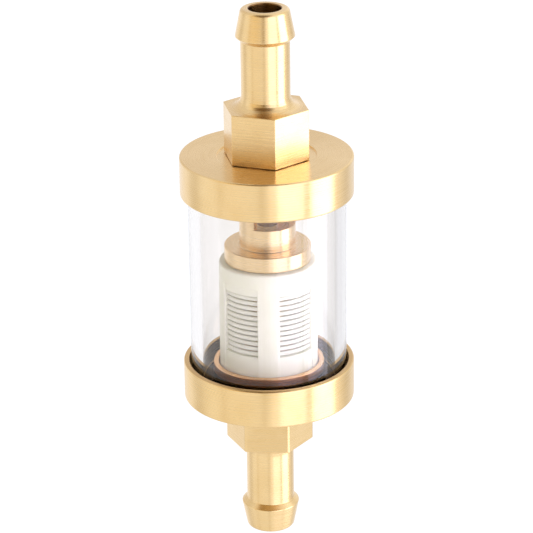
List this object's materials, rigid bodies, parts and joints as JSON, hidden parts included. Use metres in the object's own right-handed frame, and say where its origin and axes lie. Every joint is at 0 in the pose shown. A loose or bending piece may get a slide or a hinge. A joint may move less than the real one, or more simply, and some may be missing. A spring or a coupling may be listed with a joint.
{
  "type": "in-line magnetic strainer filter",
  "caption": "Small in-line liquid filter: brass end caps and hose barbs on a clear glass tube, with a finned plastic strainer cage and a ring magnet on a brass post.",
  "frame": {"origin": "middle of the filter's axis, half way between the two hose ends", "axes": "+Z along the axis towards the inlet, -Y the side that faces the viewer"},
  "size_m": [0.0286, 0.0286, 0.092],
  "materials": {
    "brass": "satin turned brass with fine circumferential brush lines",
    "clear_glass": "clear polished glass tube",
    "ivory_plastic": "ivory moulded plastic with a soft satin surface",
    "black_rubber": "black moulded rubber",
    "red_fibre": "vulcanised fibre washer",
    "steel": "plain stainless steel",
    "nickel_plate": "nickel-plated magnet"
  },
  "bodies": {
    "base": {"bottom_cap": "brass", "lower_glass_gasket": "black_rubber", "strainer_seat_washer": "black_rubber", "tie_screw": "steel", "tie_screw_washer": "steel"},
    "strainer": {"centre_post": "brass", "strainer_cage": "ivory_plastic", "strainer_top_washer": "black_rubber", "ring_magnet": "nickel_plate", "magnet_clip": "steel"},
    "glass": {"glass_tube": "clear_glass"},
    "top_cap": {"top_cap": "brass", "upper_glass_gasket": "black_rubber"},
    "inlet_washer": {"inlet_washer": "red_fibre"},
    "inlet_fitting": {"inlet_fitting": "brass"},
    "outlet_washer": {"outlet_washer": "red_fibre"},
    "outlet_fitting": {"outlet_fitting": "brass"}
  },
  "joints": [
    {"name": "strainer_lift", "type": "slide", "parent": "base", "child": "strainer", "axis": [0, 0, 1], "range_m": [0, 0.016]},
    {"name": "glass_lift", "type": "slide", "parent": "strainer", "child": "glass", "axis": [0, 0, 1], "range_m": [0, 0.03]},
    {"name": "top_cap_lift", "type": "slide", "parent": "glass", "child": "top_cap", "axis": [0, 0, 1], "range_m": [0, 0.012]},
    {"name": "inlet_washer_rise", "type": "slide", "parent": "top_cap", "child": "inlet_washer", "axis": [0, 0, 1], "range_m": [0, 0.0046]},
    {"name": "inlet_fitting_turn", "type": "hinge", "parent": "inlet_washer", "child": "inlet_fitting", "pos_m": [0, 0, 0.0211], "axis": [0, 0, 1], "range_deg": [0, 2160]},
    {"name": "outlet_washer_drop", "type": "slide", "parent": "base", "child": "outlet_washer", "axis": [0, 0, -1], "range_m": [0, 0.0061]},
    {"name": "outlet_fitting_turn", "type": "hinge", "parent": "outlet_washer", "child": "outlet_fitting", "pos_m": [0, 0, -0.0211], "axis": [0, 0, -1], "range_deg": [0, 2160]}
  ],
  "couplings": [
    {"joint": "inlet_washer_rise", "follows": "inlet_fitting_turn", "m_per_rad": 0.00011937},
    {"joint": "outlet_washer_drop", "follows": "outlet_fitting_turn", "m_per_rad": 0.00015915}
  ]
}
